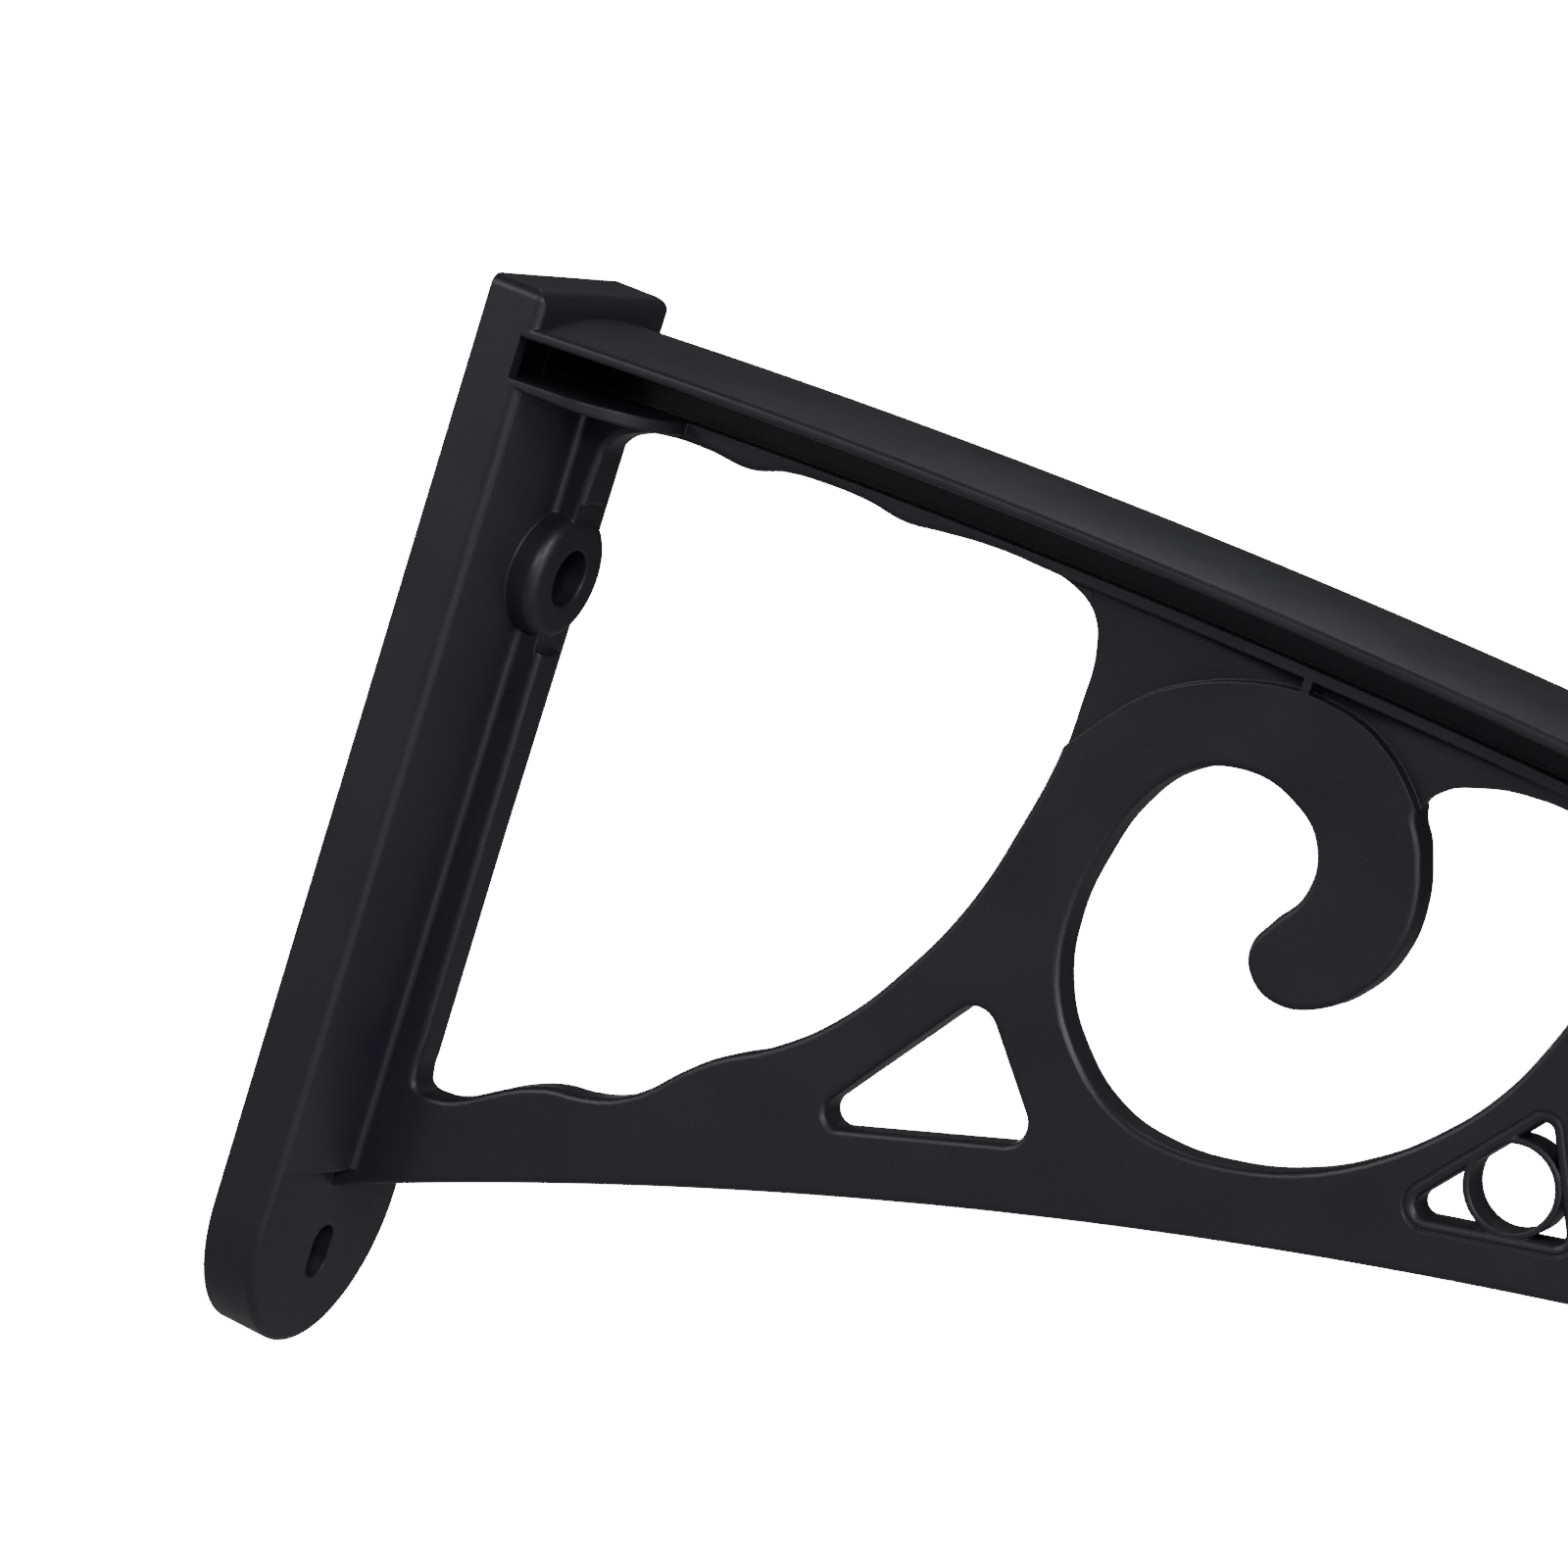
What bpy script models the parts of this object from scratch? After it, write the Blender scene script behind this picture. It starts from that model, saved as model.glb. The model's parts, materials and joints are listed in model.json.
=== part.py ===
"""Awning bracket: a black moulded plastic bracket that carries the side edge of a door canopy.

It is one moulding. X runs out from the wall, Z is up, and the origin is on the wall face at the
middle of the wall plate. Drawing heights are measured from a line near the foot of the plate and
are moved to the origin by the function drop.
"""
import math

import bmesh
import bpy
from mathutils import Matrix, Vector

# Driving sizes, in metres
PLATE_WIDTH = 0.065
PLATE_DEPTH = 0.0162
PLATE_TOP = 0.280
PLATE_SHOULDER = 0.028        # height where the rounded foot begins
PLATE_FOOT = -0.0105          # lowest point of the rounded foot
PLATE_EDGE = 0.0024           # rounding of the plate's front edge
ORIGIN_HEIGHT = 0.13475       # drawing height of the origin

SWELL_FRONT = 0.0213          # the plate's bulging front, where it meets the web
SWELL_SIDE = 0.0156
SWELL_FOOT = 0.0422

WEB_THICKNESS = 0.0112
THIN_WEB = 0.0042             # spandrels, and the neck between the two sheet slots
WEB_CHAMFER = 0.0008

ARM_REACH = 0.800
BEAM_WIDTH = 0.065
BEAM_CENTRE = (0.1497, -2.3001)    # centre of the beam's arc, in the drawing
BEAM_TOP_RADIUS = 2.5737           # top of the flange at its two long edges
BEAM_CROWN = 0.0040
FLANGE_EDGE = 0.0028
SLOT_HEIGHT = 0.0105
SLOT_START = 0.0122
SLOT_POCKET_START = 0.0045     # inside the plate's side wall the slot runs deeper
SIDE_WALL = 0.0030
LIP_HEIGHT = 0.0028
FLANGE_UNDER_RADIUS = BEAM_TOP_RADIUS - FLANGE_EDGE
SLOT_FLOOR_RADIUS = FLANGE_UNDER_RADIUS - SLOT_HEIGHT
LIP_UNDER_RADIUS = SLOT_FLOOR_RADIUS - LIP_HEIGHT

SHELF_UNDER = 0.2546
SHELF_STRAIGHT = 0.027
SHELF_END = 0.050

BOSS_RADIUS = 0.0170
BOSS_FRONT = 0.0283
BOSS_SEAT = 0.0272            # the rib is cut back to here, around the boss
BOSS_HEIGHT = 0.2084
SCREW_HEAD_RADIUS = 0.0075
SCREW_HEAD_FLOOR = 0.0110
SCREW_RADIUS = 0.0042
FOOT_SLOT_WIDTH = 0.0094
FOOT_SLOT_LENGTH = 0.0150
FOOT_SLOT_HEIGHT = 0.0160

RING_CENTRE = (0.3123, 0.1638)
RING_RADIUS = 0.0120
RING_HOLE_RADIUS = 0.0103

PLASTIC_COLOUR = (0.012, 0.012, 0.013, 1.0)
PLASTIC_ROUGHNESS = 0.42

ARM_CENTRE = (0.6567, -1.3261)     # centre of the arc of the arm's lower edge, in the drawing
ARM_LOW_RADIUS = 1.5047

# Free-form outlines, in millimetres of the drawing, as (X, height)
WALL_OPENING = (
    (30.6, 80), (30.1, 140), (29.4, 200), (29.2, 238), (30.7, 246.5), (36.5, 250.8), (45, 253), (57, 253.6),
    (70, 253.0), (79, 255.6), (90, 256.7), (103, 256.6), (114, 255.2), (124, 256.3), (135, 257.4),
    (150, 257.4), (160.5, 255.8), (167.8, 251.3), (171.3, 243), (172.0, 230), (171.6, 216),
    (168.2, 197.5), (162, 174.7), (151.6, 153), (138, 133.1), (124, 120.2), (110, 111.2),
    (102, 104), (94, 95.6), (86, 90.2), (77, 87.2), (69, 85.8), (60, 82.1), (51, 76.5), (44, 72.0),
    (36.5, 70.0), (31.0, 71.6),
)
SCROLL_OPENING = (
    (313.5, 222), (312.2, 209), (308.9, 197.8), (302.4, 183.2), (292.5, 169.6), (277.5, 155.6),
    (262, 146.2), (245, 140.6), (229, 138.8), (214, 141.5), (200, 151.3), (190.8, 164.8),
    (187.7, 181.4), (189.6, 197.5), (194.4, 212.6), (203.5, 224.6), (217.5, 230.4), (231.5, 227.9),
    (240.4, 220.2), (241.6, 208.5), (236.2, 199.4), (233.0, 191.6), (236.4, 184.4), (243.5, 181.4),
    (252.5, 183.5), (262, 191.6), (267.6, 202.8), (268.4, 216.5), (264.6, 229.5), (260.6, 238.2),
    (263.4, 242.6), (272.5, 247.2), (285, 249.8), (297, 249.2), (307, 243.5), (312.4, 234),
)
MIDDLE_OPENING = (
    (329.6, 239), (329.0, 226), (329.4, 212), (330.8, 198), (334, 184.5), (340.5, 173.5), (352, 167.0),
    (370, 165.6), (395, 168.8), (420, 173.0), (446, 177.8), (467, 184.0), (483, 193.5), (493, 205),
    (496.8, 217.5), (494, 226.5), (484, 231.4), (462, 234.7), (430, 238.4), (395, 242.0), (362, 245.2),
    (341, 246.8), (332.6, 245.2),
)
OUTER_OPENING = (
    (512, 219), (515, 207.5), (522.5, 196.5), (534, 189.5), (550, 187.0), (575, 187.6), (600, 189.0),
    (625, 190.2), (643, 190.9), (652, 193.6), (653.6, 198.0), (644, 203.3), (620, 208.6), (590, 214.4),
    (560, 219.4), (532, 223.6), (516.5, 224.6),
)
# Corners of the two triangles and the radius of each corner's rounding
LEFT_TRIANGLE = ((136.0, 104.2, 4.0), (172.9, 155.1, 6.5), (198.5, 125.3, 5.5))
RING_TRIANGLE = ((287.4, 146.9, 3.0), (315.4, 183.0, 2.2), (329.0, 156.4, 2.5))
SCROLL_RIM = (
    (160, 196), (166, 209), (174.2, 221.8), (186.3, 237.0), (199, 245.6), (212, 250.8), (225.5, 253.2),
    (240, 251.7), (251, 246.4), (259.5, 238.5), (265, 229), (268, 220),
)
SPANDREL_TICK = (224.4, 226.6)
SPANDREL_END = 272.0


def drop(x, height):
    """Move a point of the drawing so that the origin is at the middle of the wall plate."""
    return x, height - ORIGIN_HEIGHT


def from_millimetres(points):
    return [drop(x / 1000, height / 1000) for x, height in points]


def beam_height(radius, x):
    """Height of one of the beam's concentric arcs at a distance from the wall."""
    return BEAM_CENTRE[1] + math.sqrt(radius ** 2 - (x - BEAM_CENTRE[0]) ** 2)


def arm_low_height(x):
    """Height of the arm's lower edge: an arc that flattens away from the wall."""
    return ARM_CENTRE[1] + math.sqrt(ARM_LOW_RADIUS ** 2 - (x - ARM_CENTRE[0]) ** 2)


def circle_through(first, second, third):
    """Centre and radius of the circle through three points."""
    (ax, ay), (bx, by), (cx, cy) = first, second, third
    a, b, c = ax ** 2 + ay ** 2, bx ** 2 + by ** 2, cx ** 2 + cy ** 2
    twice = 2 * (ax * (by - cy) + bx * (cy - ay) + cx * (ay - by))
    x = (a * (by - cy) + b * (cy - ay) + c * (ay - by)) / twice
    y = (a * (cx - bx) + b * (ax - cx) + c * (bx - ax)) / twice
    return x, y, math.hypot(ax - x, ay - y)


def steps(first, last, count):
    return [first + (last - first) * i / count for i in range(count + 1)]


def rounded_corners(corners, segments):
    """A polygon whose corners are replaced by arcs; each corner is given as X, height and radius."""
    points = []
    count = len(corners)
    for i in range(count):
        corner = Vector(corners[i][:2])
        radius = corners[i][2]
        to_last = (Vector(corners[i - 1][:2]) - corner).normalized()
        to_next = (Vector(corners[(i + 1) % count][:2]) - corner).normalized()
        half = to_last.angle(to_next) / 2
        centre = corner + (to_last + to_next).normalized() * radius / math.sin(half)
        start = corner + to_last * radius / math.tan(half) - centre
        end = corner + to_next * radius / math.tan(half) - centre
        turn = start.angle_signed(end)
        for k in range(segments + 1):
            angle = -turn * k / segments
            spot = Matrix.Rotation(angle, 2) @ start + centre
            points.append((spot.x, spot.y))
    return points


def through(points, count):
    """More points on a smooth line through the given ones."""
    line = []
    for i in range(1, len(points) - 2):
        before, start, end, after = [Vector(p) for p in points[i - 1:i + 3]]
        square = 2 * before - 5 * start + 4 * end - after
        cube = 3 * start - before - 3 * end + after
        for t in steps(0, 1, count)[:-1]:
            line.append(0.5 * (2 * start + (end - before) * t + square * t ** 2 + cube * t ** 3))
    return [tuple(p) for p in line] + [points[-2]]


def add_spline(curve, points, smooth):
    """One closed outline: smooth ones pass through their points, the others are polygons."""
    if smooth:
        spline = curve.splines.new("BEZIER")
        spline.bezier_points.add(len(points) - 1)
        for knot, (x, y) in zip(spline.bezier_points, points):
            knot.co = (x, y, 0)
            knot.handle_left_type = knot.handle_right_type = "AUTO"
    else:
        spline = curve.splines.new("POLY")
        spline.points.add(len(points) - 1)
        for knot, (x, y) in zip(spline.points, points):
            knot.co = (x, y, 0, 1)
    spline.use_cyclic_u = True


def slab(name, outlines, half, matrix, chamfer=0.0, segments=0, resolution=4):
    """A plate with the given outline and holes, made from a filled flat curve."""
    curve = bpy.data.curves.new(name, "CURVE")
    curve.dimensions = "2D"
    curve.fill_mode = "BOTH"
    curve.resolution_u = resolution
    curve.extrude = half - chamfer
    curve.bevel_depth = chamfer
    curve.bevel_resolution = segments
    curve.offset = -chamfer
    for points, smooth in outlines:
        add_spline(curve, points, smooth)
    holder = bpy.data.objects.new(name + "_curve", curve)
    bpy.context.scene.collection.objects.link(holder)
    bpy.context.view_layer.update()
    evaluated = holder.evaluated_get(bpy.context.evaluated_depsgraph_get())
    mesh = bpy.data.meshes.new_from_object(evaluated)
    bpy.data.objects.remove(holder)
    body = bmesh.new()
    body.from_mesh(mesh)
    bmesh.ops.remove_doubles(body, verts=body.verts, dist=0.00002)
    bmesh.ops.transform(body, matrix=matrix, verts=body.verts)
    bmesh.ops.recalc_face_normals(body, faces=body.faces)
    body.to_mesh(mesh)
    body.free()
    return bpy.data.objects.new(name, mesh)


def upright(side=0.0):
    """Stands a flat outline up: its second axis becomes Z, its thickness runs along Y."""
    return Matrix.Translation((0, side, 0)) @ Matrix.Rotation(math.pi / 2, 4, "X")


def facing(depth):
    """Turns a flat outline to face out from the wall: its axes become Y and Z."""
    return Matrix(((0, 0, 1, depth), (1, 0, 0, 0), (0, 1, 0, 0), (0, 0, 0, 1)))


def web():
    """The pierced web: arm, scroll, struts, and the beam's neck and lip, at full thickness."""
    nose = ARM_REACH - 0.018
    nose_low = arm_low_height(nose)
    outline = [drop(x, arm_low_height(x)) for x in steps(0.010, nose, 28)]
    outline += [drop(nose + 0.016 * math.sin(a), nose_low + 0.014 * (1 - math.cos(a)))
                for a in steps(0, math.pi / 2, 6)[1:]]
    outline += [drop(x, beam_height(BEAM_TOP_RADIUS - 0.0005, x))
                for x in steps(nose + 0.016, 0.006, 26)]
    holes = [(from_millimetres(points), True)
             for points in (WALL_OPENING, SCROLL_OPENING, MIDDLE_OPENING, OUTER_OPENING)]
    holes += [(from_millimetres(rounded_corners(corners, 5)), False)
              for corners in (LEFT_TRIANGLE, RING_TRIANGLE)]
    return slab("web", [(outline, False)] + holes, WEB_THICKNESS / 2, upright(), WEB_CHAMFER)


def plate():
    """The wall plate: straight sides, small top corners and a rounded foot."""
    half = PLATE_WIDTH / 2
    corner = 0.003
    points = [(half - corner + corner * math.sin(a), PLATE_TOP - corner + corner * math.cos(a))
              for a in steps(0, math.pi / 2, 3)]
    fall = PLATE_SHOULDER - PLATE_FOOT
    points += [(half * math.cos(a), PLATE_SHOULDER - fall * math.sin(a)) for a in steps(0, math.pi, 24)]
    points += [(-half + corner - corner * math.cos(a), PLATE_TOP - corner + corner * math.sin(a))
               for a in steps(0, math.pi / 2, 3)]
    outline = [drop(y, z) for y, z in points]
    return slab("plate", [(outline, False)], PLATE_DEPTH, facing(0), PLATE_EDGE, 1)


def swell():
    """The bulging front of the plate, a segment of a round column, from the foot tab to the slot."""
    half = PLATE_WIDTH / 2
    cx, cy, radius = circle_through(
        (SWELL_SIDE, half), (SWELL_FRONT, WEB_THICKNESS / 2), (SWELL_SIDE, -half))
    reach = math.asin(half / radius)
    points = [(0.006, -half + 0.002), (SWELL_SIDE - 0.0018, -half)]
    points += [(cx + radius * math.cos(a), cy + radius * math.sin(a))
               for a in steps(-reach + 0.02, reach - 0.02, 16)]
    points += [(SWELL_SIDE - 0.0018, half), (0.006, half - 0.002)]
    low = SWELL_FOOT - ORIGIN_HEIGHT
    high = 0.266 - ORIGIN_HEIGHT
    return slab("swell", [(points, False)], (high - low) / 2, Matrix.Translation((0, 0, (high + low) / 2)))


def flange():
    """The beam's crowned top: its cross-section swept along the beam's arc."""
    half = BEAM_WIDTH / 2
    under = FLANGE_UNDER_RADIUS
    edge = 0.0006
    section = [(-half + edge, under), (-half, under + edge), (-half, BEAM_TOP_RADIUS - edge)]
    section += [(y, BEAM_TOP_RADIUS + BEAM_CROWN * (1 - (y / half) ** 2))
                for y in steps(-half + edge, half - edge, 10)]
    section += [(half, BEAM_TOP_RADIUS - edge), (half, under + edge), (half - edge, under)]
    start = math.asin((0.006 - BEAM_CENTRE[0]) / BEAM_TOP_RADIUS)
    end = math.asin((ARM_REACH - BEAM_CENTRE[0]) / BEAM_TOP_RADIUS)
    centre = Vector((BEAM_CENTRE[0], 0, BEAM_CENTRE[1] - ORIGIN_HEIGHT))
    body = bmesh.new()
    turn = Matrix.Rotation(start, 3, "Y")
    corners = [body.verts.new(centre + turn @ Vector((0, y, r))) for y, r in section]
    face = body.faces.new(corners)
    bmesh.ops.spin(body, geom=[face] + list(face.edges) + corners, cent=centre, axis=(0, 1, 0),
                   angle=end - start, steps=26, use_duplicate=False)
    bmesh.ops.recalc_face_normals(body, faces=body.faces)
    mesh = bpy.data.meshes.new("flange")
    body.to_mesh(mesh)
    body.free()
    return bpy.data.objects.new("flange", mesh)


def shelf():
    """The tongue under the sheet slot, where the lip widens to the plate."""
    half = PLATE_WIDTH / 2
    web_half = WEB_THICKNESS / 2
    points = [(0.006, -half), (0.006, half)]
    bend = [(SHELF_STRAIGHT + (SHELF_END - SHELF_STRAIGHT) * math.sin(a),
             web_half - 0.001 + (half - web_half + 0.001) * math.cos(a)) for a in steps(0, math.pi / 2, 8)]
    points += bend + [(x, -y) for x, y in reversed(bend)]
    low = SHELF_UNDER - ORIGIN_HEIGHT
    high = 0.262 - ORIGIN_HEIGHT
    return slab("shelf", [(points, False)], (high - low) / 2, Matrix.Translation((0, 0, (high + low) / 2)))


def along_x(name, radius, start, end, height, segments=48, edge=0.0):
    """A round bar that lies along X, with its front edge softened."""
    body = bmesh.new()
    bmesh.ops.create_cone(body, cap_ends=True, segments=segments, radius1=radius, radius2=radius,
                          depth=end - start)
    if edge:
        rim = [e for e in body.edges if all(v.co.z > 0 for v in e.verts)]
        bmesh.ops.bevel(body, geom=rim, offset=edge, segments=2, profile=0.5, affect="EDGES", material=-1)
    place = Matrix.Translation(((start + end) / 2, 0, height - ORIGIN_HEIGHT))
    bmesh.ops.transform(body, matrix=place @ Matrix.Rotation(math.pi / 2, 4, "Y"), verts=body.verts)
    mesh = bpy.data.meshes.new(name)
    body.to_mesh(mesh)
    body.free()
    return bpy.data.objects.new(name, mesh)


def ring():
    """The thin ring in the arm's second triangle."""
    x, z = drop(*RING_CENTRE)
    circles = [([(x + r * math.cos(a), z + r * math.sin(a)) for a in steps(0, math.tau, 40)[:-1]], False)
               for r in (RING_RADIUS, RING_HOLE_RADIUS)]
    return slab("ring", circles, WEB_THICKNESS / 2 - 0.0002, upright())


def slot_cutters(side):
    """The sheet slot on one side of the beam, with its deeper end inside the plate.

    They are cut before the flange closes the slot's top.
    """
    bodies = []
    for start, end, count, inner, outer in (
        (SLOT_START, 0.830, 27, THIN_WEB / 2, 0.040),
        (SLOT_POCKET_START, SLOT_START + 0.002, 1, THIN_WEB / 2, PLATE_WIDTH / 2 - SIDE_WALL),
    ):
        outline = [drop(x, beam_height(SLOT_FLOOR_RADIUS, x)) for x in steps(start, end, count)]
        outline += [drop(x, beam_height(FLANGE_UNDER_RADIUS + 0.0012, x)) for x in steps(end, start, count)]
        place = upright(side * (inner + outer) / 2)
        bodies.append(slab("slot", [(outline, False)], (outer - inner) / 2, place))
    return bodies


def spandrel_cutters(side):
    """The sunk faces between the scroll and the lip, left and right of the small tick."""
    rim = through([(x / 1000, z / 1000) for x, z in SCROLL_RIM], 3)
    half = 0.005
    place = upright(side * (THIN_WEB / 2 + half))
    tick_left, tick_right = SPANDREL_TICK[0] / 1000, SPANDREL_TICK[1] / 1000
    left = [p for p in rim if p[0] < tick_left] + [(tick_left, 0.2531)]
    left += [(x, beam_height(LIP_UNDER_RADIUS, x)) for x in steps(tick_left, 0.160, 3)]
    end = SPANDREL_END / 1000
    right = [(tick_right, 0.2532)] + [p for p in rim if p[0] > tick_right]
    right += [(end, 0.2350), (end, 0.2500)]
    right += [(x, beam_height(LIP_UNDER_RADIUS, x)) for x in steps(end, tick_right, 3)]
    return [slab("spandrel", [([drop(x, z) for x, z in points], False)], half, place)
            for points in (left, right)]


def foot_slot_cutter():
    """The long hole for the lower screw."""
    radius = FOOT_SLOT_WIDTH / 2
    rise = FOOT_SLOT_LENGTH / 2 - radius
    points = []
    for shift, start, end in ((rise, 0, math.pi), (-rise, math.pi, math.tau)):
        points += [drop(radius * math.cos(a), FOOT_SLOT_HEIGHT + shift + radius * math.sin(a))
                   for a in steps(start, end, 12)]
    return slab("foot_slot", [(points, False)], 0.030, facing(0))


def nose_envelope():
    """Everything in front of the wall and inside the rounded tip, seen from above."""
    half = BEAM_WIDTH / 2 + 0.001
    radius = 0.014
    tip = ARM_REACH - radius
    points = [(0, -half)]
    points += [(tip + radius * math.sin(a), -half + radius - radius * math.cos(a) + 0.001 * math.cos(a))
               for a in steps(0, math.pi / 2, 6)]
    points += [(x, -y) for x, y in reversed(points)]
    return slab("envelope", [(points, False)], 0.3, Matrix.Identity(4))


def combine(base, others, operation):
    """Join the base with a set of bodies, or cut them from it, and bake the result into the base."""
    group = bpy.data.collections.new(operation.lower())
    cutters.children.link(group)
    for other in others:
        other.display_type = "WIRE"
        other.hide_render = True
        group.objects.link(other)
    step = base.modifiers.new(operation.lower(), "BOOLEAN")
    step.operation = operation
    step.solver = "EXACT"
    step.operand_type = "COLLECTION"
    step.collection = group
    bpy.context.view_layer.update()
    evaluated = base.evaluated_get(bpy.context.evaluated_depsgraph_get())
    mesh = bpy.data.meshes.new_from_object(evaluated)
    base.modifiers.clear()
    base.data = mesh
    for other in others:
        bpy.data.objects.remove(other)
    bpy.data.collections.remove(group)


def tidy(part):
    """Weld what the cuts left closer than a hundredth of a millimetre, and clear straight points."""
    body = bmesh.new()
    body.from_mesh(part.data)
    bmesh.ops.remove_doubles(body, verts=body.verts, dist=0.00001)
    bmesh.ops.dissolve_degenerate(body, edges=body.edges, dist=0.00001)
    bmesh.ops.dissolve_limit(body, angle_limit=math.radians(0.1), verts=body.verts, edges=body.edges)
    bmesh.ops.triangulate(body, faces=[f for f in body.faces if len(f.verts) > 4])
    bmesh.ops.recalc_face_normals(body, faces=body.faces)
    body.to_mesh(part.data)
    body.free()


def plastic():
    material = bpy.data.materials.new("black_plastic")
    material.use_nodes = True
    shader = material.node_tree.nodes["Principled BSDF"]
    shader.inputs["Base Color"].default_value = PLASTIC_COLOUR
    shader.inputs["Roughness"].default_value = PLASTIC_ROUGHNESS
    return material


for old in list(bpy.data.objects):
    bpy.data.objects.remove(old)
parts = bpy.data.collections.new("awning_bracket")
cutters = bpy.data.collections.new("cutters")
bpy.context.scene.collection.children.link(parts)
bpy.context.scene.collection.children.link(cutters)

bracket = web()
bracket.name = "bracket"
bracket.data.name = "bracket"
parts.objects.link(bracket)
boss = along_x("boss", BOSS_RADIUS, 0.004, BOSS_FRONT, BOSS_HEIGHT, edge=0.0015)
boss_clearance = along_x("boss_clearance", BOSS_RADIUS + 0.0004, BOSS_SEAT, 0.0330, BOSS_HEIGHT)
combine(bracket, [boss_clearance], "DIFFERENCE")
combine(bracket, [plate(), swell(), shelf(), boss, ring()], "UNION")
combine(bracket, slot_cutters(1) + slot_cutters(-1) + spandrel_cutters(1) + spandrel_cutters(-1) + [
    along_x("screw_head", SCREW_HEAD_RADIUS, SCREW_HEAD_FLOOR, 0.040, BOSS_HEIGHT, 32),
    along_x("screw", SCREW_RADIUS, -0.010, 0.020, BOSS_HEIGHT, 24),
    foot_slot_cutter(),
], "DIFFERENCE")
combine(bracket, [flange()], "UNION")
combine(bracket, [nose_envelope()], "INTERSECT")
tidy(bracket)
bracket.data.materials.clear()
bracket.data.materials.append(plastic())
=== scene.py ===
"""Finished look of the awning bracket: one black plastic moulding, on a plain pale stage.

Sizes are in metres, in the frame of the solids: X runs out from the wall, Z is up, and the origin is
on the wall at the middle of the wall plate. Outlines are written in millimetres of the drawing, whose
heights are measured from a line near the foot of the plate.
"""

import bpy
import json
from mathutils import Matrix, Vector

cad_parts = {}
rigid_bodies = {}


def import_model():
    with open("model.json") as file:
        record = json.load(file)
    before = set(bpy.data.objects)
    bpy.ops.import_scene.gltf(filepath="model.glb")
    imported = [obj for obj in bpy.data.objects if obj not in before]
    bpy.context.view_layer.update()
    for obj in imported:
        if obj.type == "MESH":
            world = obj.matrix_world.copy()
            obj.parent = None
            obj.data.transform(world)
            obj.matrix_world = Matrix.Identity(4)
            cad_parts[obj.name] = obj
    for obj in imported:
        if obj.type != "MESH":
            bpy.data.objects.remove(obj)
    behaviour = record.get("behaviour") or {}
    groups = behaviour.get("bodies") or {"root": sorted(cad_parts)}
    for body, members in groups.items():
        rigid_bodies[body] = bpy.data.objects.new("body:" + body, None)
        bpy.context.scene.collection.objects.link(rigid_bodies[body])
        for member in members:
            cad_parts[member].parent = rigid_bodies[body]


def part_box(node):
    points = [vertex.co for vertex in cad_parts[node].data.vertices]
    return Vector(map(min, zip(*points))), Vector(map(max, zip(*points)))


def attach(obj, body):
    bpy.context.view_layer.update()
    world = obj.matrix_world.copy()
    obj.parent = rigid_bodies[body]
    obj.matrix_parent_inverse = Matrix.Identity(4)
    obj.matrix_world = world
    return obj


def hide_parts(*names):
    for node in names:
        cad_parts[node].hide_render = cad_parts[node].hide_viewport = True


bl_info = {
    "name": "Awning bracket",
    "version": (1, 0, 0),
    "blender": (4, 5, 0),
    "location": "View3D > Sidebar > Bracket",
    "description": "Makes a moulded plastic bracket that carries the side edge of a door canopy",
    "category": "Add Mesh",
}

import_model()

import json
import math

import bmesh
import bpy
from bpy.props import FloatProperty, FloatVectorProperty, IntProperty, PointerProperty
from mathutils import Matrix, Vector

SOLID_LOW, SOLID_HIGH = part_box("bracket")
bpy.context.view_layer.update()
ORIGIN_HEIGHT = 0.13475            # drawing height of the origin

# Arcs of the drawing, as centre and radius
BEAM_CENTRE = (0.1497, -2.3001)
ARM_CENTRE = (0.6567, -1.3261)
ARM_LOW_RADIUS = 1.5047

# Free-form outlines, in millimetres of the drawing, as (X, height)
WALL_OPENING = (
    (30.6, 80), (30.1, 140), (29.4, 200), (29.2, 238), (30.7, 246.5), (36.5, 250.8), (45, 253), (57, 253.6),
    (70, 253.0), (79, 255.6), (90, 256.7), (103, 256.6), (114, 255.2), (124, 256.3), (135, 257.4),
    (150, 257.4), (160.5, 255.8), (167.8, 251.3), (171.3, 243), (172.0, 230), (171.6, 216),
    (168.2, 197.5), (162, 174.7), (151.6, 153), (138, 133.1), (124, 120.2), (110, 111.2),
    (102, 104), (94, 95.6), (86, 90.2), (77, 87.2), (69, 85.8), (60, 82.1), (51, 76.5), (44, 72.0),
    (37.0, 69.9), (31.8, 70.6), (30.7, 73.6),
)
SCROLL_OPENING = (
    (313.5, 222), (312.2, 209), (308.9, 197.8), (302.4, 183.2), (292.5, 169.6), (277.5, 155.6),
    (262, 146.2), (245, 140.6), (229, 138.8), (214, 141.5), (200, 151.3), (190.8, 164.8),
    (187.7, 181.4), (189.6, 197.5), (194.4, 212.6), (203.5, 224.6), (217.5, 230.4), (231.5, 227.9),
    (240.4, 220.2), (241.6, 208.5), (236.2, 199.4), (233.0, 191.6), (236.4, 184.4), (243.5, 181.4),
    (252.5, 183.5), (262, 191.6), (267.6, 202.8), (268.4, 216.5), (264.6, 229.5), (260.6, 238.2),
    (263.4, 242.6), (272.5, 247.2), (285, 249.8), (297, 249.2), (307, 243.5), (312.4, 234),
)
MIDDLE_OPENING = (
    (329.6, 239), (329.0, 226), (329.4, 212), (330.8, 198), (334, 184.5), (340.5, 173.5), (352, 167.0),
    (370, 165.6), (395, 168.8), (420, 173.0), (446, 177.8), (467, 184.0), (483, 193.5), (493, 205),
    (496.8, 217.5), (494, 226.5), (484, 231.4), (462, 234.7), (430, 238.4), (395, 242.0), (362, 245.2),
    (341, 246.8), (332.6, 245.2),
)
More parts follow.
